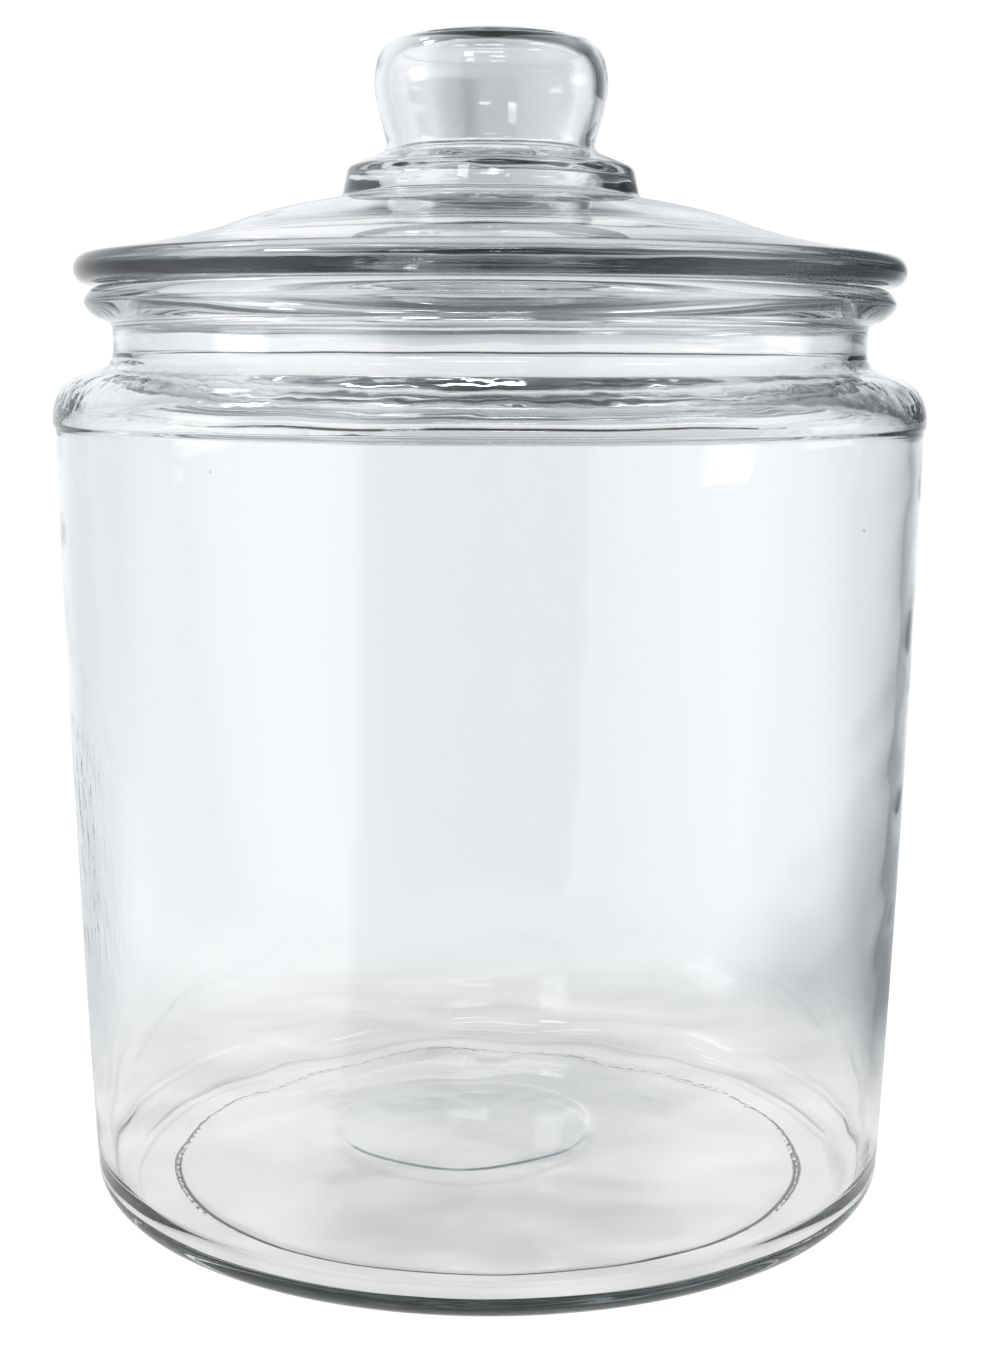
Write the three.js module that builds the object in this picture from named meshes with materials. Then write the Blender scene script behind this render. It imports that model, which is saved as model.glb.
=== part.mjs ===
// Round clear-glass storage jar with a lift-off glass lid.
// Millimetres, +Z up, origin at the centre of the base where the jar stands.
//
// The jar is one blown glass piece: a base that is hollowed a little underneath
// and domed inside, with a ring groove between the hollow and the ring it stands
// on, a slightly tapered wall, a rounded shoulder, a short neck and a ridged
// rim. The lid is the other piece: a round-edged flange, a locating ring below
// it, a low dome, a stepped collar and a hollow knob that is open from below.
// Both are solids of revolution.

import * as THREE from 'three';

// ---- Driving dimensions of the jar ------------------------------------------
const WALL = 3.8;              // glass thickness of wall, shoulder and neck
const WALL_BOW = 1.7;          // pulls the middle of the wall's curve in from a straight cylinder
const BODY_RADIUS = 116;       // widest radius, on the parting line
const BODY_TOP = 209;          // height of the parting line
const FOOT_RADIUS = 110;       // radius where the wall meets the heel
const HEEL = 8.5;              // radius of the rounded heel
const BASE_THICKNESS = 4.4;    // near the wall; the base is thicker in the middle
const FLOOR_MIDDLE = 11.5;     // height of the floor in the middle, inside
const PUSH_UP = 5.5;           // height of the underside in the middle
const SEAM_RADIUS = 88;        // ring groove, just inside the ring the jar stands on
const SEAM_DEPTH = 0.6;
const SEAM_WIDTH = 1.5;
const CORNER_RISE = 10.5;      // inside corner: height above the floor
const CORNER_REACH = 9.5;      // and how far it runs in from the wall
const CORNER_FULLNESS = 0.65;  // 1 would make the corner square
const NECK_RADIUS = 100.4;
const NECK_FOOT = 224;
const RIM_FOOT = 235.5;
const RIM_RIDGE_RADIUS = 107.7;
const RIM_TOP = 245;
const LEDGE = 0.3;             // the shoulder stands this far proud of the wall

// ---- Driving dimensions of the lid ------------------------------------------
const SEAT_GAP = 0.3;          // clearance between rim and flange
const FLANGE_RADIUS = 109.8;
const FLANGE_THICKNESS = 7.9;
const RING_RADIUS = 94;        // locating ring that drops inside the neck
const RING_DEPTH = 6.5;
const RING_WIDTH = 4;
const DOME_THICKNESS = 4.5;
const DOME_KNEE_RADIUS = 68;   // where the dome is steepest
const DOME_KNEE_HEIGHT = 261.6;
const COLLAR_RADIUS = 39.3;
const COLLAR_FOOT = 268.5;
const COLLAR_TOP = 276.7;
const WAIST_RADIUS = 27.5;
const WAIST_HEIGHT = 281;
const KNOB_RADIUS = 30.8;
const KNOB_MIDDLE = 298;
const KNOB_WALL = 3;
const TOTAL_HEIGHT = 312.4;

// ---- Resolution -------------------------------------------------------------
const SEGMENTS = 48;           // facets around
const CURVE_STEPS = 3;         // straight pieces in each curved stretch

const glass = {
  jar: new THREE.MeshStandardMaterial({ color: 0xe3e9ea, roughness: 0.05, metalness: 0 }),
  lid: new THREE.MeshStandardMaterial({ color: 0xd3dbdd, roughness: 0.05, metalness: 0 }),
};

// In each outline x is the radius and y is the height. Both outlines start and
// end on the axis. The points of a curve are small offsets from the sizes above.
function jarOutline() {
  const path = new THREE.Path();
  addJarBase(path);
  addJarOutside(path);
  addJarRim(path);
  addJarInside(path);
  return path.getPoints(CURVE_STEPS);
}

function addJarBase(path) {
  const contactOuter = FOOT_RADIUS - HEEL;
  path.moveTo(0, PUSH_UP);
  path.quadraticCurveTo(SEAM_RADIUS * 0.55, PUSH_UP, SEAM_RADIUS - SEAM_WIDTH / 2, 0.1);
  path.lineTo(SEAM_RADIUS, SEAM_DEPTH);
  path.lineTo(SEAM_RADIUS + SEAM_WIDTH / 2, 0);
  path.lineTo(contactOuter, 0);
  path.absarc(contactOuter, HEEL, HEEL, -Math.PI / 2, 0, false);
}

function addJarOutside(path) {
  const shoulder = BODY_RADIUS + LEDGE;
  path.quadraticCurveTo(BODY_RADIUS - WALL_BOW, BODY_TOP / 2, BODY_RADIUS - LEDGE, BODY_TOP);
  path.lineTo(shoulder, BODY_TOP + LEDGE);
  path.bezierCurveTo(
    shoulder + 0.6, BODY_TOP + 9.5,
    NECK_RADIUS + 11.5, NECK_FOOT - 2,
    NECK_RADIUS + 4.6, NECK_FOOT - 0.7,
  );
  path.quadraticCurveTo(NECK_RADIUS, NECK_FOOT, NECK_RADIUS, NECK_FOOT + 5);
  path.lineTo(NECK_RADIUS, RIM_FOOT - 1.5);
}

function addJarRim(path) {
  const ridge = RIM_TOP - 4;
  path.quadraticCurveTo(NECK_RADIUS, RIM_FOOT + 0.4, NECK_RADIUS + 3, RIM_FOOT + 1);
  path.quadraticCurveTo(RIM_RIDGE_RADIUS - 1, ridge - 3, RIM_RIDGE_RADIUS, ridge);
  path.quadraticCurveTo(RIM_RIDGE_RADIUS - 1.5, RIM_TOP, NECK_RADIUS + 2.4, RIM_TOP);
  path.lineTo(NECK_RADIUS - 1.6, RIM_TOP);
  path.quadraticCurveTo(NECK_RADIUS - WALL, RIM_TOP, NECK_RADIUS - WALL, RIM_TOP - 2.6);
}

function addJarInside(path) {
  const neck = NECK_RADIUS - WALL;
  const wallTop = BODY_RADIUS - WALL;
  const wallFoot = FOOT_RADIUS - WALL + 0.4;
  const cornerTop = BASE_THICKNESS + CORNER_RISE;
  path.lineTo(neck, NECK_FOOT + 3.5);
  path.quadraticCurveTo(neck, NECK_FOOT - 4.4, neck + 5.5, NECK_FOOT - 5.2);
  path.bezierCurveTo(
    neck + 11, NECK_FOOT - 6,
    wallTop, NECK_FOOT - 8,
    wallTop, BODY_TOP,
  );
  path.quadraticCurveTo(wallTop - WALL_BOW, BODY_TOP / 2, wallFoot, cornerTop);
  path.bezierCurveTo(
    wallFoot, cornerTop - CORNER_FULLNESS * CORNER_RISE,
    wallFoot - (1 - CORNER_FULLNESS) * CORNER_REACH, BASE_THICKNESS,
    wallFoot - CORNER_REACH, BASE_THICKNESS,
  );
  path.bezierCurveTo(
    SEAM_RADIUS * 0.7, BASE_THICKNESS + 2,
    SEAM_RADIUS * 0.4, FLOOR_MIDDLE,
    0, FLOOR_MIDDLE,
  );
}

// The lid is drawn from its top downwards, so its points are turned round to
// keep the faces pointing out.
function lidOutline() {
  const path = new THREE.Path();
  addKnobOutside(path);
  addDomeOutside(path);
  addFlange(path);
  addLocatingRing(path);
  addDomeInside(path);
  addKnobInside(path);
  return path.getPoints(CURVE_STEPS).reverse();
}

function addKnobOutside(path) {
  const edge = KNOB_RADIUS - 5.4;
  path.moveTo(0, TOTAL_HEIGHT);
  path.quadraticCurveTo(edge * 0.5, TOTAL_HEIGHT - 1, edge, TOTAL_HEIGHT - 3.6);
  path.quadraticCurveTo(KNOB_RADIUS - 1.4, TOTAL_HEIGHT - 5.4, KNOB_RADIUS - 0.6, KNOB_MIDDLE + 5);
  path.quadraticCurveTo(KNOB_RADIUS + 0.6, KNOB_MIDDLE, KNOB_RADIUS - 0.7, KNOB_MIDDLE - 5.5);
  path.bezierCurveTo(
    WAIST_RADIUS + 1.6, WAIST_HEIGHT + 6,
    WAIST_RADIUS, WAIST_HEIGHT + 3,
    WAIST_RADIUS, WAIST_HEIGHT,
  );
}

function addDomeOutside(path) {
  path.lineTo(WAIST_RADIUS + 1.4, WAIST_HEIGHT - 1);
  path.lineTo(COLLAR_RADIUS - 3.2, COLLAR_TOP + 0.4);
  path.quadraticCurveTo(
    COLLAR_RADIUS - 1.6, COLLAR_TOP,
    COLLAR_RADIUS - 1.2, COLLAR_TOP - 1.2,
  );
  path.lineTo(COLLAR_RADIUS, COLLAR_FOOT + 1);
  path.quadraticCurveTo(COLLAR_RADIUS + 0.4, COLLAR_FOOT, COLLAR_RADIUS + 2.4, COLLAR_FOOT - 0.5);
  path.quadraticCurveTo(DOME_KNEE_RADIUS - 10, COLLAR_FOOT - 3, DOME_KNEE_RADIUS, DOME_KNEE_HEIGHT);
  path.quadraticCurveTo(DOME_KNEE_RADIUS + 12, DOME_KNEE_HEIGHT - 4.6, flangeCentre().x, flangeTop());
}

function flangeTop() {
  return RIM_TOP + SEAT_GAP + FLANGE_THICKNESS;
}

function flangeCentre() {
  const half = FLANGE_THICKNESS / 2;
  return new THREE.Vector2(FLANGE_RADIUS - half, flangeTop() - half);
}

function addFlange(path) {
  const centre = flangeCentre();
  path.absarc(centre.x, centre.y, FLANGE_THICKNESS / 2, Math.PI / 2, -Math.PI / 2, true);
}

function addLocatingRing(path) {
  const seat = RIM_TOP + SEAT_GAP;
  const bottom = RIM_TOP - RING_DEPTH;
  const inner = RING_RADIUS - RING_WIDTH;
  path.lineTo(RING_RADIUS + 1.5, seat);
  path.quadraticCurveTo(RING_RADIUS, seat, RING_RADIUS, seat - 1.5);
  path.lineTo(RING_RADIUS - 0.4, bottom + 1.6);
  path.quadraticCurveTo(RING_RADIUS - 0.4, bottom, RING_RADIUS - RING_WIDTH / 2, bottom);
  path.quadraticCurveTo(inner, bottom, inner - 0.3, bottom + 2);
  path.lineTo(inner - 1, seat);
}

function addDomeInside(path) {
  const shoulder = RING_RADIUS - RING_WIDTH - 2.5;
  path.quadraticCurveTo(shoulder, RIM_TOP + 4.6, DOME_KNEE_RADIUS + 12, RIM_TOP + 7.4);
  path.quadraticCurveTo(
    DOME_KNEE_RADIUS + 5, RIM_TOP + 9.6,
    DOME_KNEE_RADIUS - 1.5, DOME_KNEE_HEIGHT - DOME_THICKNESS,
  );
  path.quadraticCurveTo(
    DOME_KNEE_RADIUS - 12, COLLAR_FOOT - 3 - DOME_THICKNESS,
    COLLAR_RADIUS + 1, COLLAR_FOOT - DOME_THICKNESS,
  );
}

function addKnobInside(path) {
  const neck = WAIST_RADIUS - KNOB_WALL;
  const hollow = KNOB_RADIUS - KNOB_WALL;
  const ceiling = TOTAL_HEIGHT - KNOB_WALL;
  path.quadraticCurveTo(COLLAR_RADIUS - 4, COLLAR_FOOT - 3, neck + 8, COLLAR_TOP - 3.4);
  path.quadraticCurveTo(neck, WAIST_HEIGHT - 3, neck, WAIST_HEIGHT + 1);
  path.bezierCurveTo(
    neck, WAIST_HEIGHT + 4,
    hollow - 2, WAIST_HEIGHT + 7,
    hollow - 0.6, KNOB_MIDDLE - 5,
  );
  path.quadraticCurveTo(hollow + 0.6, KNOB_MIDDLE, hollow - 0.5, KNOB_MIDDLE + 4);
  path.quadraticCurveTo(hollow - 1.4, ceiling - 3.8, hollow - 5, ceiling - 2.6);
  path.quadraticCurveTo(hollow * 0.45, ceiling - 0.6, 0, ceiling);
}

// Spin an outline about the vertical axis. The lathe turns about Y, so the
// result is tipped upright.
function revolve(points) {
  points[0].x = 0;
  points[points.length - 1].x = 0;
  const geometry = new THREE.LatheGeometry(points, SEGMENTS);
  geometry.rotateX(Math.PI / 2);
  return geometry;
}

function piece(name, outline, material) {
  const mesh = new THREE.Mesh(revolve(outline), material);
  mesh.name = name;
  return mesh;
}

const jar = new THREE.Group();
jar.add(piece('jar_body', jarOutline(), glass.jar));
jar.add(piece('lid_with_knob', lidOutline(), glass.lid));

export default jar;
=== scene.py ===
"""Looks for a round clear-glass storage jar with a lift-off glass lid.

Blender 4.5. Everything is in metres in the frame's own axes: +Z up, the jar standing on z = 0.
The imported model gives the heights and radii. The two glass pieces are lathed again here as fine
surfaces around those numbers, because clear glass shows every facet of a coarse one.
"""

import math

import bpy
import numpy as np
from mathutils import Matrix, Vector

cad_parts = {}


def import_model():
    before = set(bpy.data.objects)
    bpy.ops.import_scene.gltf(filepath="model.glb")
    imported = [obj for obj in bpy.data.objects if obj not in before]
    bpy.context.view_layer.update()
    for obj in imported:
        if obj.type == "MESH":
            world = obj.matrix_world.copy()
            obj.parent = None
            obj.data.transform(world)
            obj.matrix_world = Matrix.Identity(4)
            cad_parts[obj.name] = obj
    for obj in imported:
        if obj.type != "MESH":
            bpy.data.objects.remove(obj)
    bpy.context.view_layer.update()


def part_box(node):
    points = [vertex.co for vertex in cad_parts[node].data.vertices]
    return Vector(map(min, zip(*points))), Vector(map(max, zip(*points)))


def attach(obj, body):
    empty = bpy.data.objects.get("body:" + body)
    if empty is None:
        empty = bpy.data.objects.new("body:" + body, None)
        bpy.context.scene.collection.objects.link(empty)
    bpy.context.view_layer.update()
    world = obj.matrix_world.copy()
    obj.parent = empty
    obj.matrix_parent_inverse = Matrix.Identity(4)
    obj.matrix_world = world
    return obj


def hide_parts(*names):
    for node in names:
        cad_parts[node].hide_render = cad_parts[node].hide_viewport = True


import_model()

MM = 0.001

# ---- Fineness of the meshes -------------------------------------------------
SEGMENTS = 240                    # steps around each piece of glass
CURVE_STEPS = 24                  # points on each curved stretch of an outline
SPACING = 0.4 * MM                # even spacing of an outline while it is smoothed
SOFTENING = 0.45 * MM             # how far a fire-polished corner is rounded
TURN_LIMIT = math.radians(2.5)    # a new ring of the mesh after this much of a bend,
LONGEST_STEP = 3 * MM             # or after this much of a straight

# ---- Uneven glass -----------------------------------------------------------
TRUE = 0.0                        # how far a surface strays from its outline
FAINT = 0.01 * MM
SLIGHT = 0.04 * MM
ROUGH = 0.1 * MM
JAGGED = 0.15 * MM
WAVES = 14                        # sine waves added up
MOST_CRESTS = 26                  # fewer crests than this in one wave around a piece
WAVE_LENGTHS = (14 * MM, 60 * MM)
CALM_RADIUS = 60 * MM             # the waves fade out from here to the axis
JAR_SEED = 3
LID_SEED = 8

# ---- Glass ------------------------------------------------------------------
REFRACTIVE_INDEX = 1.52
JAR_LOSS = (9.2, 8.2, 8.2)        # light lost per metre of glass: red, green, blue
LID_LOSS = (12.8, 11.9, 11.6)
WEAR_ROUGHNESS = 0.02

# ---- Sizes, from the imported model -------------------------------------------
jar_low, jar_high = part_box("jar_body")
lid_low, lid_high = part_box("lid_with_knob")

LEDGE = 0.3 * MM                              # the shoulder stands proud of the wall
BODY_RADIUS = jar_high.x - 0.6 * MM           # on the parting line
RIM_TOP = jar_high.z
BODY_TOP = RIM_TOP - 36 * MM                  # height of the parting line
FOOT_RADIUS = BODY_RADIUS - 6 * MM            # where the wall meets the heel
HEEL = 8.5 * MM                               # radius of the rounded heel
WALL = 3.8 * MM
WALL_BOW = 1.7 * MM                           # pulls the middle of the wall's curve in
BASE_THICKNESS = 4.4 * MM                     # near the wall
CORNER_RISE = 10.5 * MM                       # height of the inside corner above the floor
CORNER_REACH = 9.5 * MM                       # how far it runs in from the wall
CORNER_FULLNESS = 0.65                        # 1 would make the corner square
SEAM_RADIUS = FOOT_RADIUS - HEEL - 13.5 * MM  # ring groove left by the bottom plate of the mould
SEAM_DEPTH = 1.0 * MM
SEAM_WIDTH = 1.5 * MM
SEAM_FADE = 0.85                              # share of the groove's depth that is gone at the back
PUSH_UP = 5.5 * MM                            # height of the underside in the middle
FLOOR_MIDDLE = 11.5 * MM                      # height of the floor in the middle, inside
MARK_RADIUS = 35.5 * MM                       # round mark pressed into the floor
MARK_HEIGHT = FLOOR_MIDDLE - 1.6 * MM         # height of the floor at its edge
MARK_STEP = 0.3 * MM
MARK_OFFSET = (-7 * MM, 5 * MM)               # it was not pressed quite in the middle
NECK_RADIUS = BODY_RADIUS - 15.6 * MM
NECK_FOOT = RIM_TOP - 21 * MM
RIM_FOOT = RIM_TOP - 9.5 * MM
RIM_RIDGE_RADIUS = BODY_RADIUS - 8.3 * MM

SEAT = RIM_TOP + 0.3 * MM                     # underside of the flange
FLANGE_RADIUS = lid_high.x
FLANGE_THICKNESS = 7.9 * MM
RING_FOOT = lid_low.z                         # foot of the locating ring inside the neck
RING_RADIUS = NECK_RADIUS - WALL - 1.9 * MM
RING_WIDTH = 4 * MM
TOTAL_HEIGHT = lid_high.z
KNOB_RADIUS = 30.8 * MM
KNOB_MIDDLE = TOTAL_HEIGHT - 14.4 * MM
KNOB_WALL = 3.0 * MM
WAIST_RADIUS = 27.5 * MM
WAIST_HEIGHT = TOTAL_HEIGHT - 31.4 * MM
COLLAR_RADIUS = 39.3 * MM
COLLAR_FOOT = TOTAL_HEIGHT - 43.9 * MM
COLLAR_TOP = COLLAR_FOOT + 8.2 * MM
KNEE_RADIUS = 68 * MM                         # where the dome is steepest
KNEE_HEIGHT = TOTAL_HEIGHT - 50.8 * MM
DOME_THICKNESS = 4.5 * MM


# ---- Outlines ---------------------------------------------------------------
class Outline:
    """Half of a section through a solid of revolution, as (radius, height, waviness) points.

    waviness is how far the surface strays from true there: blown glass is least true inside.
    """

    def __init__(self, radius, height, waviness=TRUE):
        self.waviness = waviness
        self.points = [np.array((radius, height, waviness))]

    def line(self, radius, height):
        self.points.append(np.array((radius, height, self.waviness)))

    def bend(self, control, end):
        """A quadratic curve to end."""
        a, b, c = self.points[-1][:2], np.array(control), np.array(end)
        for t in np.linspace(0, 1, CURVE_STEPS + 1)[1:]:
            self.line(*((1 - t) ** 2 * a + 2 * t * (1 - t) * b + t * t * c))

    def sweep(self, first, second, end):
        """A cubic curve to end."""
        a, b, c, d = self.points[-1][:2], np.array(first), np.array(second), np.array(end)
        for t in np.linspace(0, 1, 2 * CURVE_STEPS + 1)[1:]:
            s = 1 - t
            self.line(*(s**3 * a + 3 * s * s * t * b + 3 * s * t * t * c + t**3 * d))

    def arc(self, centre, radius, start, end):
        """A round stretch, with its angles in degrees."""
        for angle in np.radians(np.linspace(start, end, CURVE_STEPS + 1)[1:]):
            self.line(centre[0] + radius * math.cos(angle), centre[1] + radius * math.sin(angle))


def distance_along(points):
    return np.r_[0, np.cumsum(np.linalg.norm(np.diff(points[:, :2], axis=0), axis=1))]


def evenly(points, spacing):
    walked = distance_along(points)
    places = np.linspace(0, walked[-1], int(walked[-1] / spacing) + 1)
    return np.stack([np.interp(places, walked, column) for column in points.T], axis=1)


def soften(points, reach):
    """Rounds the corners as fire-polishing does. The outline is mirrored across the axis at its ends."""
    half = int(4 * reach / SPACING)
    weights = np.exp(-0.5 * (np.arange(-half, half + 1) * SPACING / reach) ** 2)
    weights /= weights.sum()
    mirror = np.array((-1, 1, 1))
    padded = np.vstack([points[half:0:-1] * mirror, points, points[-2 : -half - 2 : -1] * mirror])
    return np.stack([np.convolve(column, weights, "valid") for column in padded.T], axis=1)


def thin(points):
    """Keeps the points that the shape needs: close together on bends, far apart on straights."""
    heading = np.unwrap(np.arctan2(*np.diff(points[:, :2], axis=0).T[::-1]))
    kept, turned, walked = [0], 0.0, 0.0
    for i in range(1, len(points) - 1):
        turned += abs(heading[i] - heading[i - 1])
        walked += np.linalg.norm(points[i, :2] - points[i - 1, :2])
        if turned > TURN_LIMIT or walked > LONGEST_STEP:
            kept.append(i)
            turned, walked = 0.0, 0.0
    kept.append(len(points) - 1)
    return points[kept]


def smooth_outline(outline):
    points = thin(soften(evenly(np.array(outline.points), SPACING), SOFTENING))
    points[[0, -1], 0] = 0
    return points


def jar_outline():
    o = Outline(0, PUSH_UP, SLIGHT)
    contact = FOOT_RADIUS - HEEL
    o.sweep(
        (SEAM_RADIUS * 0.45, PUSH_UP),
        (SEAM_RADIUS * 0.75, 0.2 * MM),
        (SEAM_RADIUS - SEAM_WIDTH / 2, 0.1 * MM),
    )
    o.waviness = JAGGED
    o.line(SEAM_RADIUS, SEAM_DEPTH)
    o.waviness = TRUE
    o.line(SEAM_RADIUS + SEAM_WIDTH / 2, 0)
    o.line(contact, 0)
    o.arc((contact, HEEL), HEEL, -90, 0)
    o.waviness = FAINT
    o.bend((BODY_RADIUS - WALL_BOW, BODY_TOP / 2), (BODY_RADIUS - LEDGE, BODY_TOP))
    shoulder_outside(o)
    rim(o)
    jar_inside(o)
    return smooth_outline(o)


def shoulder_outside(o):
    shoulder = BODY_RADIUS + LEDGE
    o.line(shoulder, BODY_TOP + LEDGE)
    o.sweep(
        (shoulder + 0.6 * MM, BODY_TOP + 9.5 * MM),
        (NECK_RADIUS + 11.5 * MM, NECK_FOOT - 2 * MM),
        (NECK_RADIUS + 4.6 * MM, NECK_FOOT - 0.7 * MM),
    )
    o.bend((NECK_RADIUS, NECK_FOOT), (NECK_RADIUS, NECK_FOOT + 5 * MM))
    o.line(NECK_RADIUS, RIM_FOOT - 1.5 * MM)


def rim(o):
    ridge = RIM_TOP - 4 * MM
    inner = NECK_RADIUS - WALL
    o.bend((NECK_RADIUS, RIM_FOOT + 0.4 * MM), (NECK_RADIUS + 3 * MM, RIM_FOOT + 1 * MM))
    o.bend((RIM_RIDGE_RADIUS - 1 * MM, ridge - 3 * MM), (RIM_RIDGE_RADIUS, ridge))
    o.bend((RIM_RIDGE_RADIUS - 1.5 * MM, RIM_TOP), (NECK_RADIUS + 2.4 * MM, RIM_TOP))
    o.line(NECK_RADIUS - 1.6 * MM, RIM_TOP)
    o.bend((inner, RIM_TOP), (inner, RIM_TOP - 2.6 * MM))


def jar_inside(o):
    neck = NECK_RADIUS - WALL
    wall_top = BODY_RADIUS - WALL
    wall_foot = FOOT_RADIUS - WALL + 0.4 * MM
    corner_top = BASE_THICKNESS + CORNER_RISE
    o.waviness = SLIGHT
    o.line(neck, NECK_FOOT + 3.5 * MM)
    o.bend((neck, NECK_FOOT - 4.4 * MM), (neck + 5.5 * MM, NECK_FOOT - 5.2 * MM))
    o.sweep((neck + 11 * MM, NECK_FOOT - 6 * MM), (wall_top, NECK_FOOT - 8 * MM), (wall_top, BODY_TOP))
    o.bend((wall_top - WALL_BOW, BODY_TOP / 2), (wall_foot, corner_top))
    o.sweep(
        (wall_foot, corner_top - CORNER_FULLNESS * CORNER_RISE),
        (wall_foot - (1 - CORNER_FULLNESS) * CORNER_REACH, BASE_THICKNESS),
        (wall_foot - CORNER_REACH, BASE_THICKNESS),
    )
    o.sweep(
        (SEAM_RADIUS * 0.75, BASE_THICKNESS + 1 * MM),
        (SEAM_RADIUS * 0.55, MARK_HEIGHT - 1 * MM),
        (MARK_RADIUS + 1 * MM, MARK_HEIGHT),
    )
    o.line(MARK_RADIUS, MARK_HEIGHT + MARK_STEP)
    o.waviness = TRUE
    o.bend((MARK_RADIUS * 0.55, FLOOR_MIDDLE), (0, FLOOR_MIDDLE))


def lid_outline():
    o = Outline(0, TOTAL_HEIGHT - KNOB_WALL, SLIGHT)
    knob_inside(o)
    dome_inside(o)
    o.waviness = TRUE
    locating_ring(o)
    half = FLANGE_THICKNESS / 2
    o.arc((FLANGE_RADIUS - half, SEAT + half), half, -90, 90)
    o.waviness = FAINT
    dome_outside(o)
    knob_outside(o)
    return smooth_outline(o)


def knob_inside(o):
    neck = WAIST_RADIUS - KNOB_WALL
    hollow = KNOB_RADIUS - KNOB_WALL
    ceiling = TOTAL_HEIGHT - KNOB_WALL
    o.bend((hollow * 0.45, ceiling - 0.6 * MM), (hollow - 5 * MM, ceiling - 2.6 * MM))
    o.bend((hollow - 1.4 * MM, ceiling - 3.8 * MM), (hollow - 0.5 * MM, KNOB_MIDDLE + 4 * MM))
    o.bend((hollow + 0.6 * MM, KNOB_MIDDLE), (hollow - 0.6 * MM, KNOB_MIDDLE - 5 * MM))
    o.waviness = ROUGH
    o.sweep(
        (hollow - 2 * MM, WAIST_HEIGHT + 7 * MM),
        (neck, WAIST_HEIGHT + 4 * MM),
        (neck, WAIST_HEIGHT + 1 * MM),
    )
    o.bend((neck, WAIST_HEIGHT - 3 * MM), (neck + 8 * MM, COLLAR_TOP - 3.4 * MM))
    o.bend(
        (COLLAR_RADIUS - 4 * MM, COLLAR_FOOT - 3 * MM),
        (COLLAR_RADIUS + 1 * MM, COLLAR_FOOT - DOME_THICKNESS),
    )


def dome_inside(o):
    shoulder = RING_RADIUS - RING_WIDTH - 2.5 * MM
    o.waviness = SLIGHT
    o.bend(
        (KNEE_RADIUS - 12 * MM, COLLAR_FOOT - 3 * MM - DOME_THICKNESS),
        (KNEE_RADIUS - 1.5 * MM, KNEE_HEIGHT - DOME_THICKNESS),
    )
    o.bend((KNEE_RADIUS + 5 * MM, RIM_TOP + 9.6 * MM), (KNEE_RADIUS + 12 * MM, RIM_TOP + 7.4 * MM))
    o.bend((shoulder, RIM_TOP + 4.6 * MM), (RING_RADIUS - RING_WIDTH - 1 * MM, SEAT))


def locating_ring(o):
    inner = RING_RADIUS - RING_WIDTH
    outer = RING_RADIUS - 0.4 * MM
    o.line(inner - 0.3 * MM, RING_FOOT + 2 * MM)
    o.bend((inner, RING_FOOT), (RING_RADIUS - RING_WIDTH / 2, RING_FOOT))
    o.bend((outer, RING_FOOT), (outer, RING_FOOT + 1.6 * MM))
    o.line(RING_RADIUS, SEAT - 1.5 * MM)
    o.bend((RING_RADIUS, SEAT), (RING_RADIUS + 1.5 * MM, SEAT))
    o.line(FLANGE_RADIUS - FLANGE_THICKNESS / 2, SEAT)


def dome_outside(o):
    o.bend((KNEE_RADIUS + 12 * MM, KNEE_HEIGHT - 4.6 * MM), (KNEE_RADIUS, KNEE_HEIGHT))
    o.bend((KNEE_RADIUS - 10 * MM, COLLAR_FOOT - 3 * MM), (COLLAR_RADIUS + 2.4 * MM, COLLAR_FOOT - 0.5 * MM))
    o.bend((COLLAR_RADIUS + 0.4 * MM, COLLAR_FOOT), (COLLAR_RADIUS, COLLAR_FOOT + 1 * MM))
    o.line(COLLAR_RADIUS - 1.2 * MM, COLLAR_TOP - 1.2 * MM)
    o.bend((COLLAR_RADIUS - 1.6 * MM, COLLAR_TOP), (COLLAR_RADIUS - 3.2 * MM, COLLAR_TOP + 0.4 * MM))
    o.line(WAIST_RADIUS + 1.4 * MM, WAIST_HEIGHT - 1 * MM)
    o.bend((WAIST_RADIUS, WAIST_HEIGHT), (WAIST_RADIUS, WAIST_HEIGHT + 1.2 * MM))


def knob_outside(o):
    edge = KNOB_RADIUS - 5.4 * MM
    o.sweep(
        (WAIST_RADIUS, WAIST_HEIGHT + 3 * MM),
        (WAIST_RADIUS + 1.6 * MM, WAIST_HEIGHT + 6 * MM),
        (KNOB_RADIUS - 0.7 * MM, KNOB_MIDDLE - 5.5 * MM),
    )
    o.bend((KNOB_RADIUS + 0.6 * MM, KNOB_MIDDLE), (KNOB_RADIUS - 0.6 * MM, KNOB_MIDDLE + 5 * MM))
    o.bend((KNOB_RADIUS - 1.4 * MM, TOTAL_HEIGHT - 5.4 * MM), (edge, TOTAL_HEIGHT - 3.6 * MM))
    o.bend((edge * 0.5, TOTAL_HEIGHT - 1 * MM), (0, TOTAL_HEIGHT))


# ---- Turning an outline into a mesh -----------------------------------------
def waves(angle, along, chance):
    """Gentle uneven waves, mostly between -2 and 2, that meet where the angle comes full circle."""
    total = np.zeros(np.broadcast(angle, along).shape)
    for _ in range(WAVES):
        crests = chance.integers(0, MOST_CRESTS)
        length = chance.uniform(*WAVE_LENGTHS)
        slant = chance.choice((-1, 1))
        start = chance.uniform(0, 2 * math.pi)
        total += np.sin(crests * angle + slant * 2 * math.pi * along / length + start)
    return total / math.sqrt(WAVES)


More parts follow.
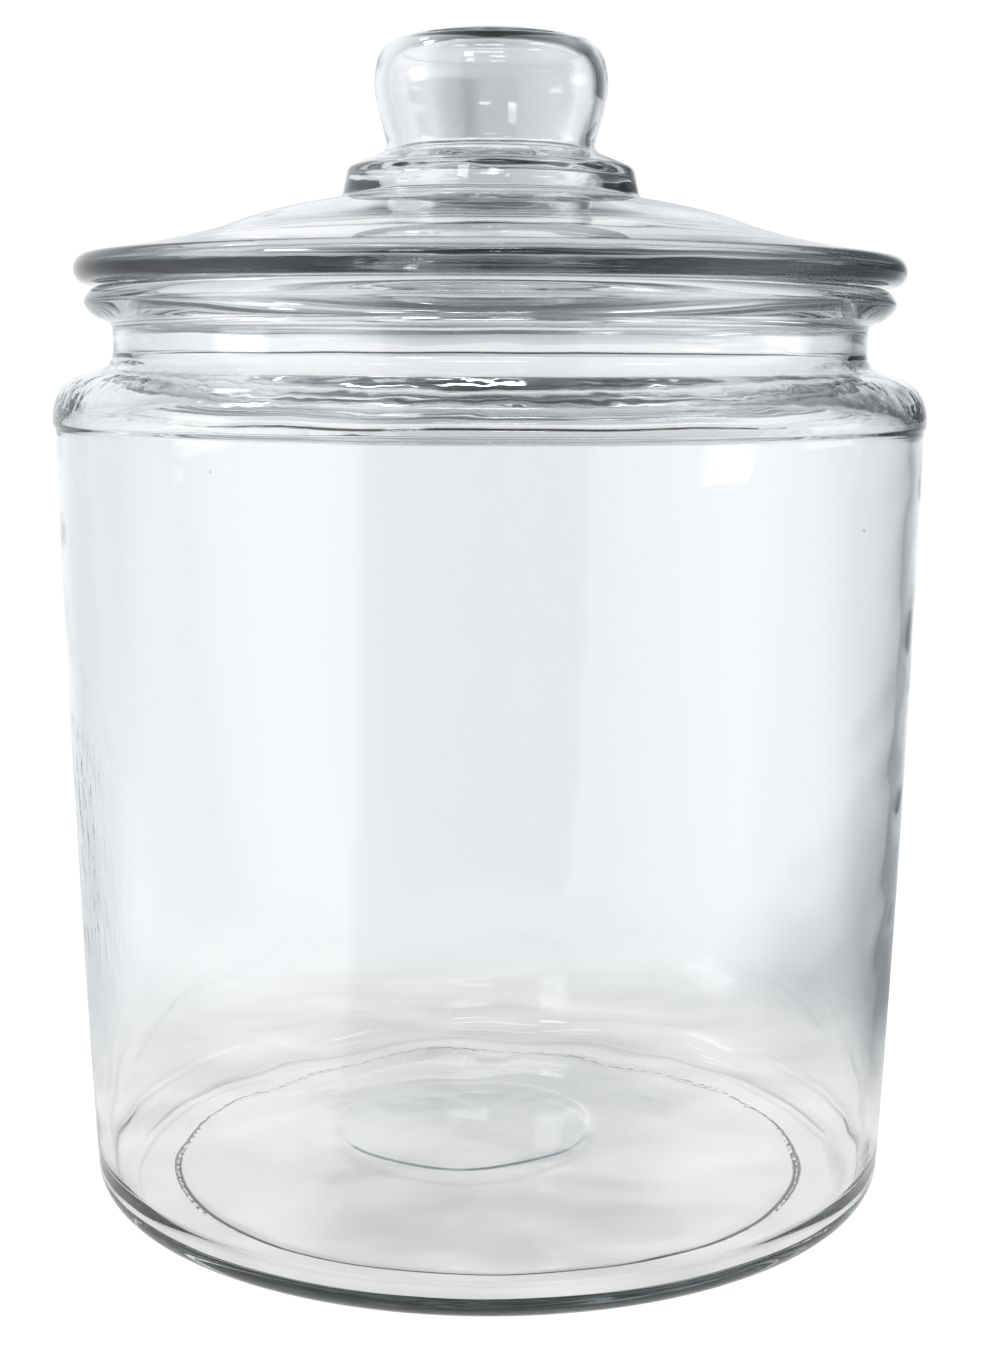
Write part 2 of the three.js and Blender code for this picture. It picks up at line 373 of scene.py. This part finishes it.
def finish_base(points):
    """Makes the ring groove shallow at the back and moves the mark in the floor off the axis."""
    radius = np.hypot(points[:, 0], points[:, 1])
    in_groove = np.interp(abs(radius - SEAM_RADIUS), (SEAM_WIDTH / 2, SEAM_WIDTH), (1, 0))
    in_groove *= points[:, 2] < SEAM_DEPTH + 0.2 * MM
    fade = np.interp(points[:, 1], (-0.2 * SEAM_RADIUS, 0.5 * SEAM_RADIUS), (0, SEAM_FADE))
    points[:, 2] *= 1 - in_groove * fade
    share = np.interp(radius, (0, MARK_RADIUS + 4 * MM, 2 * MARK_RADIUS), (1, 1, 0))
    share *= np.interp(points[:, 2], (PUSH_UP, PUSH_UP + 0.5 * MM), (0, 1))
    points[:, :2] += share[:, None] * np.array(MARK_OFFSET)
    return points


def revolve(name, outline, seed, adjust=None):
    """Lathes an outline about +Z, with its waviness pushed in and out along the surface's normal."""
    along = distance_along(outline)[1:-1, None]
    run = np.gradient(outline[:, :2], axis=0)
    normal = (np.stack([run[:, 1], -run[:, 0]], axis=1) / np.linalg.norm(run, axis=1)[:, None])[1:-1]
    body = outline[1:-1]
    angle = np.linspace(0, 2 * math.pi, SEGMENTS, endpoint=False)[None, :]
    calm = np.clip(body[:, :1] / CALM_RADIUS, 0, 1) ** 2
    push = body[:, 2:] * calm * waves(angle, along, np.random.default_rng(seed))
    radius = body[:, :1] + normal[:, :1] * push
    height = body[:, 1:2] + normal[:, 1:] * push
    rings = np.stack([radius * np.cos(angle), radius * np.sin(angle), height], axis=-1).reshape(-1, 3)
    first_end, last_end = len(rings), len(rings) + 1
    points = np.vstack([rings, (0, 0, outline[0, 1]), (0, 0, outline[-1, 1])])
    if adjust:
        points = adjust(points)
    faces = []
    for ring in range(len(body) - 1):
        for step in range(SEGMENTS):
            a = ring * SEGMENTS + step
            b = ring * SEGMENTS + (step + 1) % SEGMENTS
            faces.append((a, b, b + SEGMENTS, a + SEGMENTS))
    last_ring = (len(body) - 1) * SEGMENTS
    for step in range(SEGMENTS):
        following = (step + 1) % SEGMENTS
        faces.append((first_end, following, step))
        faces.append((last_end, last_ring + step, last_ring + following))
    mesh = bpy.data.meshes.new(name)
    mesh.from_pydata(points.tolist(), [], faces)
    mesh.polygons.foreach_set("use_smooth", [True] * len(mesh.polygons))
    mesh.update()
    piece = bpy.data.objects.new(name, mesh)
    bpy.context.scene.collection.objects.link(piece)
    return piece


# ---- Glass ------------------------------------------------------------------
class Graph:
    """Short calls for building a node tree."""

    def __init__(self, tree):
        self.tree = tree
        self.tree.nodes.clear()

    def add(self, kind, **settings):
        node = self.tree.nodes.new(kind)
        for name, value in settings.items():
            setattr(node, name, value)
        return node

    def put(self, socket, value):
        if isinstance(value, bpy.types.NodeSocket):
            self.tree.links.new(value, socket)
        else:
            socket.default_value = value

    def math(self, operation, *values):
        node = self.add("ShaderNodeMath", operation=operation)
        for socket, value in zip(node.inputs, values):
            self.put(socket, value)
        return node.outputs[0]

    def ramp(self, value, stops):
        """value, in the units of the stops, looked up in (place, brightness) stops."""
        low, high = stops[0][0], stops[-1][0]
        share = self.math("DIVIDE", self.math("SUBTRACT", value, low), high - low)
        node = self.add("ShaderNodeValToRGB")
        elements = node.color_ramp.elements
        while len(elements) < len(stops):
            elements.new(0.5)
        for element, (place, brightness) in zip(elements, stops):
            element.position = (place - low) / (high - low)
            element.color = (brightness, brightness, brightness, 1)
        self.put(node.inputs[0], share)
        return node.outputs[0]

    def mix(self, at_one, at_zero, factor):
        node = self.add("ShaderNodeMix", data_type="RGBA")
        self.put(node.inputs["Factor"], factor)
        self.put(node.inputs[6], at_zero)      # its colour inputs and output have no names of their own
        self.put(node.inputs[7], at_one)
        return node.outputs[2]

    def cool(self, brightness):
        """The colour of a place in the room: neutral where it is bright and bluish where it is dark."""
        return self.mix(ROOM_COLOUR, SHADOW_COLOUR, brightness)

    def put_together(self, x, y):
        node = self.add("ShaderNodeCombineXYZ")
        self.put(node.inputs[0], x)
        self.put(node.inputs[1], y)
        return node.outputs[0]

    def bearing(self, x, y):
        return self.math("DEGREES", self.math("ARCTAN2", x, y))

    def window(self, value, low, high, soft):
        """1 between low and high, fading to 0 over soft beyond them."""
        rise = self.fade(value, low - soft, low)
        fall = self.fade(value, high + soft, high)
        return self.math("MULTIPLY", rise, fall)

    def fade(self, value, zero_at, one_at):
        node = self.add("ShaderNodeMapRange", interpolation_type="SMOOTHSTEP")
        self.put(node.inputs["Value"], value)
        if zero_at < one_at:
            self.put(node.inputs["From Min"], zero_at)
            self.put(node.inputs["From Max"], one_at)
            return node.outputs["Result"]
        self.put(node.inputs["From Min"], one_at)
        self.put(node.inputs["From Max"], zero_at)
        return self.math("SUBTRACT", 1.0, node.outputs["Result"])

    def noise(self, position, size, detail=2.0):
        """Soft lumps between about -1 and 1. size is their width, or (x, y, z) widths, in metres."""
        widths = size if isinstance(size, tuple) else (size, size, size)
        scaled = self.add("ShaderNodeVectorMath", operation="DIVIDE")
        self.put(scaled.inputs[0], position)
        self.put(scaled.inputs[1], widths)
        node = self.add("ShaderNodeTexNoise")
        self.put(node.inputs["Vector"], scaled.outputs[0])
        self.put(node.inputs["Scale"], 1.0)
        self.put(node.inputs["Detail"], detail)
        return self.math("SUBTRACT", self.math("MULTIPLY", node.outputs["Fac"], 2.0), 1.0)

    def lumps(self, position, size, height, detail=2.0):
        """Soft lumps of about this height, in metres."""
        return self.math("MULTIPLY", self.noise(position, size, detail), height)

    def bubbles(self, position, spacing, radius):
        """1 at the middle of scattered small bubbles, falling to 0 at their edge."""
        node = self.add("ShaderNodeTexVoronoi")
        self.put(node.inputs["Vector"], position)
        self.put(node.inputs["Scale"], 1 / spacing)
        return self.fade(node.outputs["Distance"], radius / spacing, 0.0)

    def total(self, *values):
        result = values[0]
        for value in values[1:]:
            result = self.math("ADD", result, value)
        return result


def glass(name, loss, relief):
    """Clear glass. loss is the light lost per metre as (red, green, blue); relief draws its surface."""
    material = bpy.data.materials.new(name)
    material.use_nodes = True
    g = Graph(material.node_tree)
    surface = g.add("ShaderNodeBsdfPrincipled")
    g.put(surface.inputs["Base Color"], (1, 1, 1, 1))
    g.put(surface.inputs["IOR"], REFRACTIVE_INDEX)
    g.put(surface.inputs["Transmission Weight"], 1.0)
    position = g.add("ShaderNodeTexCoord").outputs["Object"]
    part = g.add("ShaderNodeSeparateXYZ")
    g.put(part.inputs[0], position)
    x, y, z = part.outputs
    radius = g.math("SQRT", g.total(g.math("POWER", x, 2), g.math("POWER", y, 2)))
    height, wear = relief(g, position, x, z, radius)
    bump = g.add("ShaderNodeBump")
    g.put(bump.inputs["Strength"], 1.0)
    g.put(bump.inputs["Distance"], 1.0)
    g.put(bump.inputs["Height"], height)
    g.put(surface.inputs["Normal"], bump.outputs[0])
    g.put(surface.inputs["Roughness"], g.math("MULTIPLY", wear, WEAR_ROUGHNESS))
    absorption = g.add("ShaderNodeVolumeAbsorption")
    strongest = max(loss)
    g.put(absorption.inputs["Color"], (*[1 - each / strongest for each in loss], 1))
    g.put(absorption.inputs["Density"], strongest)
    output = g.add("ShaderNodeOutputMaterial")
    g.put(output.inputs["Surface"], surface.outputs[0])
    g.put(output.inputs["Volume"], absorption.outputs[0])
    return material


def jar_relief(g, position, x, z, radius):
    """Height of the surface detail, in metres, and where it is worn."""
    swell = g.lumps(position, (30 * MM, 30 * MM, 80 * MM), 0.05 * MM, 1.0)
    inside_neck = g.math(
        "MULTIPLY",
        g.window(z, NECK_FOOT - 7 * MM, NECK_FOOT - 1 * MM, 4 * MM),
        g.fade(radius, BODY_RADIUS - 1 * MM, BODY_RADIUS - 7 * MM),
    )
    ripple = g.lumps(position, (14 * MM, 14 * MM, 5 * MM), 0.22 * MM)
    on_floor = g.math("MULTIPLY", g.fade(z, 16 * MM, 9 * MM), g.fade(radius, 95 * MM, 70 * MM))
    blotches = g.lumps(position, (50 * MM, 40 * MM, 40 * MM), 0.3 * MM, 1.0)
    seam = g.math(
        "MULTIPLY",
        g.window(radius, SEAM_RADIUS, SEAM_RADIUS, 1.2 * MM),
        g.fade(z, 3 * MM, 1 * MM),
    )
    ragged = g.lumps(position, 3 * MM, 0.3 * MM, 1.0)
    scuffed = g.math(
        "MULTIPLY",
        g.fade(x, -80 * MM, -100 * MM),
        g.window(z, 75 * MM, 125 * MM, 12 * MM),
    )
    scuffs = g.lumps(position, (4 * MM, 4 * MM, 9 * MM), 0.04 * MM)
    bubbles = g.math("MULTIPLY", g.bubbles(position, 34 * MM, 0.7 * MM), 0.15 * MM)
    height = g.total(
        swell,
        g.math("MULTIPLY", ripple, inside_neck),
        g.math("MULTIPLY", blotches, on_floor),
        g.math("MULTIPLY", ragged, seam),
        g.math("MULTIPLY", scuffs, scuffed),
        bubbles,
    )
    return height, scuffed


def lid_relief(g, position, x, z, radius):
    """Height of the surface detail, in metres, and where it is worn."""
    swell = g.lumps(position, 30 * MM, 0.04 * MM, 1.0)
    near_waist = g.window(z, COLLAR_FOOT, WAIST_HEIGHT - 3 * MM, 3 * MM)
    ripple = g.lumps(position, (15 * MM, 15 * MM, 6 * MM), 0.25 * MM, 1.0)
    edge = g.fade(radius, FLANGE_RADIUS - 14 * MM, FLANGE_RADIUS - 2 * MM)
    streaks = g.lumps(position, (26 * MM, 26 * MM, 5 * MM), 0.14 * MM, 1.0)
    bubbles = g.math("MULTIPLY", g.bubbles(position, 30 * MM, 0.6 * MM), 0.12 * MM)
    height = g.total(
        swell,
        g.math("MULTIPLY", ripple, near_waist),
        g.math("MULTIPLY", streaks, edge),
        bubbles,
    )
    return height, edge


jar_piece = revolve("glass_jar", jar_outline(), seed=JAR_SEED, adjust=finish_base)
jar_piece.data.materials.append(glass("jar_glass", JAR_LOSS, jar_relief))
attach(jar_piece, "jar")
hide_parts("jar_body")

lid_piece = revolve("glass_lid", lid_outline(), seed=LID_SEED)
lid_piece.data.materials.append(glass("lid_glass", LID_LOSS, lid_relief))
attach(lid_piece, "lid")
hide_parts("lid_with_knob")


# ---- Studio -----------------------------------------------------------------
# The studio is a table and a backdrop, seen mostly through the glass. Bearings are degrees
# clockwise from the backdrop (+Y), so the camera stands at 180. Brightness 1 is white.
WHITE = 1.05                          # straight behind and under the jar
AROUND = [                            # (bearing, brightness) stops of the room's light, and of the painted shade on the table
    (-180, 0.22), (-151, 0.25), (-148, 1.05), (-85, 1.15), (-70, 0.75), (-50, 0.75),
    (-30, 1.0), (22, 0.98), (36, 0.45), (50, 0.3), (72, 0.25), (90, 1.0),
    (118, 1.2), (138, 0.7), (152, 0.3), (180, 0.22),
]
UPWARD = [                            # (elevation, share of that brightness) stops
    (-90, 1.0), (0, 1.0), (10, 1.05), (25, 1.0), (45, 0.8), (65, 0.35), (90, 0.05),
]
# Places of the room as (bearing, elevation, half width, half height, strength).
SHADES = [                            # darker than the rest
    (2, 10, 6, 11, 0.35),
    (-5, 6, 4, 4, 0.25),
    (0, 40, 10, 12, 0.75),
    (0, 60, 26, 26, 0.95),
    (46, 14, 24, 20, 0.6),
]
LAMPS = [                             # brighter than the rest
    (-102, 3, 9, 9, 3.0),
    (-178, 43, 16, 1.2, 14.0),
    (173, 24, 7, 0.9, 12.0),
    (-157, 27, 5, 3.5, 8.0),
    (82, -4, 10, 12, 1.5),
    (-60, 52, 9, 3, 5.0),
    (120, 48, 10, 3, 5.0),
    (-125, 62, 12, 3, 5.0),
    (-80, 30, 26, 11, 0.35),
    (95, 30, 18, 11, 0.25),
]
PAINTED_SHADE_UNDER_GLASS = 0.85                    # painted shade: brightness of the table seen through the jar's base
PAINTED_CAUSTICS_UNDER_GLASS = 0.22             # painted caustic light: as if gathered by the glass and scattered in lumps over the table there
PAINTED_POOL_EDGE = (1.15, 2.0)        # the painted pool under the jar gives way to the open table here, in body radii
ROOM_COLOUR = (0.985, 1.0, 1.02, 1)
SHADOW_COLOUR = (0.93, 1.0, 1.09, 1)
# painted warm tint of the caustic light under the jar
PAINTED_CAUSTIC_TINT = (1.0, 1.0, 0.985, 1)
PATCH_FADE = (0.7, 1.3)               # a shade or lamp fades out between these shares of its size
TABLE_REACH = 100 * BODY_RADIUS
TABLE_DROP = 0.1 * MM                 # keeps the table clear of the jar's foot

FOCAL_LENGTH = 56.8                   # mm
PICTURE_SHIFT = 0.0387                # keeps the jar in the middle of the picture
CAMERA_PITCH = math.radians(10)       # downwards
CAMERA_ROLL = math.radians(0.24)
CAMERA_PLACE = (3.0 * MM, -5.1 * BODY_RADIUS, 0.728 * TOTAL_HEIGHT)
MOST_BOUNCES = 40                     # light crosses many surfaces on its way through rim and lid
MOST_REFLECTIONS = 24


def floor():
    """A white table that glows rather than being lit. Straight on it is evenly white. In reflections it
    darkens towards the camera, as the room beyond it does, in painted shade, and under the jar it carries a
    painted pool of shade and caustic light.
    """
    mesh = bpy.data.meshes.new("floor")
    reach = TABLE_REACH
    corners = [(-reach, -reach, 0), (reach, -reach, 0), (reach, reach, 0), (-reach, reach, 0)]
    mesh.from_pydata(corners, [], [(0, 1, 2, 3)])
    plane = bpy.data.objects.new("floor", mesh)
    plane.location.z = -TABLE_DROP
    bpy.context.scene.collection.objects.link(plane)
    material = bpy.data.materials.new("pale_floor_with_painted_light")
    material.use_nodes = True
    g = Graph(material.node_tree)
    place = g.add("ShaderNodeSeparateXYZ")
    g.put(place.inputs[0], g.add("ShaderNodeNewGeometry").outputs["Position"])
    x, y = place.outputs["X"], place.outputs["Y"]
    distance = g.math("SQRT", g.math("ADD", g.math("POWER", x, 2), g.math("POWER", y, 2)))
    # painted shade on the open table, seen in and through the glass: darker towards the camera, as the room
    # beyond it is
    around = g.ramp(g.bearing(x, y), AROUND)
    near, far = [share * BODY_RADIUS for share in PAINTED_POOL_EDGE]
    outside = g.ramp(distance, [(0, 0), (near, 0), (far, 1), (reach, 1)])
    # painted pool under the jar: painted shade with painted caustic light in soft lumps
    painted_caustics = g.noise(g.put_together(x, y), (44 * MM, 26 * MM, 1.0), 1.0)
    painted_pool_under_jar = g.math("ADD", PAINTED_SHADE_UNDER_GLASS, g.math("MULTIPLY", painted_caustics, PAINTED_CAUSTICS_UNDER_GLASS))
    painted_table_light = g.math("ADD", g.math("MULTIPLY", around, outside),
                       g.math("MULTIPLY", painted_pool_under_jar, g.math("SUBTRACT", 1.0, outside)))
    light_path = g.add("ShaderNodeLightPath")
    straight = light_path.outputs["Is Camera Ray"]
    shown = g.math("ADD", g.math("MULTIPLY", straight, WHITE),
                   g.math("MULTIPLY", painted_table_light, g.math("SUBTRACT", 1.0, straight)))
    glow = g.add("ShaderNodeEmission")
    # bluish where the painted shade is dark, with the painted warm tint under the jar
    g.put(glow.inputs["Color"], g.mix(g.cool(shown), PAINTED_CAUSTIC_TINT, outside))
    g.put(glow.inputs["Strength"], shown)
    output = g.add("ShaderNodeOutputMaterial")
    g.put(output.inputs["Surface"], glow.outputs[0])
    mesh.materials.append(material)


def patch(g, bearing, elevation, across, up, half_width, half_height, strength):
    """A soft-edged rectangle of the room: a lamp, a window or a dark opening."""
    aside = g.math("ABSOLUTE", g.math("WRAP", g.math("SUBTRACT", bearing, across), 180.0, -180.0))
    apart = g.math("ABSOLUTE", g.math("SUBTRACT", elevation, up))
    full, gone = PATCH_FADE
    inside = g.math("MULTIPLY", g.fade(aside, gone * half_width, full * half_width),
                    g.fade(apart, gone * half_height, full * half_height))
    return g.math("MULTIPLY", inside, strength)


def world():
    """White straight behind the jar. Through and off the glass it is a lit room that darkens upwards."""
    studio = bpy.data.worlds.new("studio")
    bpy.context.scene.world = studio
    studio.use_nodes = True
    g = Graph(studio.node_tree)
    way = g.add("ShaderNodeSeparateXYZ")
    g.put(way.inputs[0], g.add("ShaderNodeTexCoord").outputs["Generated"])
    bearing = g.bearing(way.outputs["X"], way.outputs["Y"])
    elevation = g.math("DEGREES", g.math("ARCSINE", way.outputs["Z"]))
    around = g.ramp(bearing, AROUND)
    upward = g.ramp(elevation, UPWARD)
    room = g.math("MULTIPLY", around, upward)
    for shade in SHADES:
        room = g.math("MULTIPLY", room, g.math("SUBTRACT", 1.0, patch(g, bearing, elevation, *shade)))
    for lamp in LAMPS:
        room = g.math("ADD", room, patch(g, bearing, elevation, *lamp))
    straight = g.add("ShaderNodeLightPath").outputs["Is Camera Ray"]
    shown = g.math("ADD", g.math("MULTIPLY", straight, WHITE),
                   g.math("MULTIPLY", room, g.math("SUBTRACT", 1.0, straight)))
    background = g.add("ShaderNodeBackground")
    g.put(background.inputs["Color"], g.cool(shown))
    g.put(background.inputs["Strength"], shown)
    output = g.add("ShaderNodeOutputWorld")
    g.put(output.inputs["Surface"], background.outputs[0])


def camera():
    """Level with the shoulder and looking slightly down, like a product photo."""
    data = bpy.data.cameras.new("camera")
    data.lens = FOCAL_LENGTH
    data.shift_y = PICTURE_SHIFT
    view = bpy.data.objects.new("camera", data)
    turn = Matrix.Rotation(math.pi / 2 - CAMERA_PITCH, 4, "X") @ Matrix.Rotation(CAMERA_ROLL, 4, "Z")
    view.matrix_world = Matrix.Translation(CAMERA_PLACE) @ turn
    bpy.context.scene.collection.objects.link(view)
    bpy.context.scene.camera = view


floor()
world()
camera()
scene = bpy.context.scene
scene.view_settings.view_transform = "Standard"
scene.cycles.max_bounces = MOST_BOUNCES
scene.cycles.transmission_bounces = MOST_BOUNCES
scene.cycles.glossy_bounces = MOST_REFLECTIONS
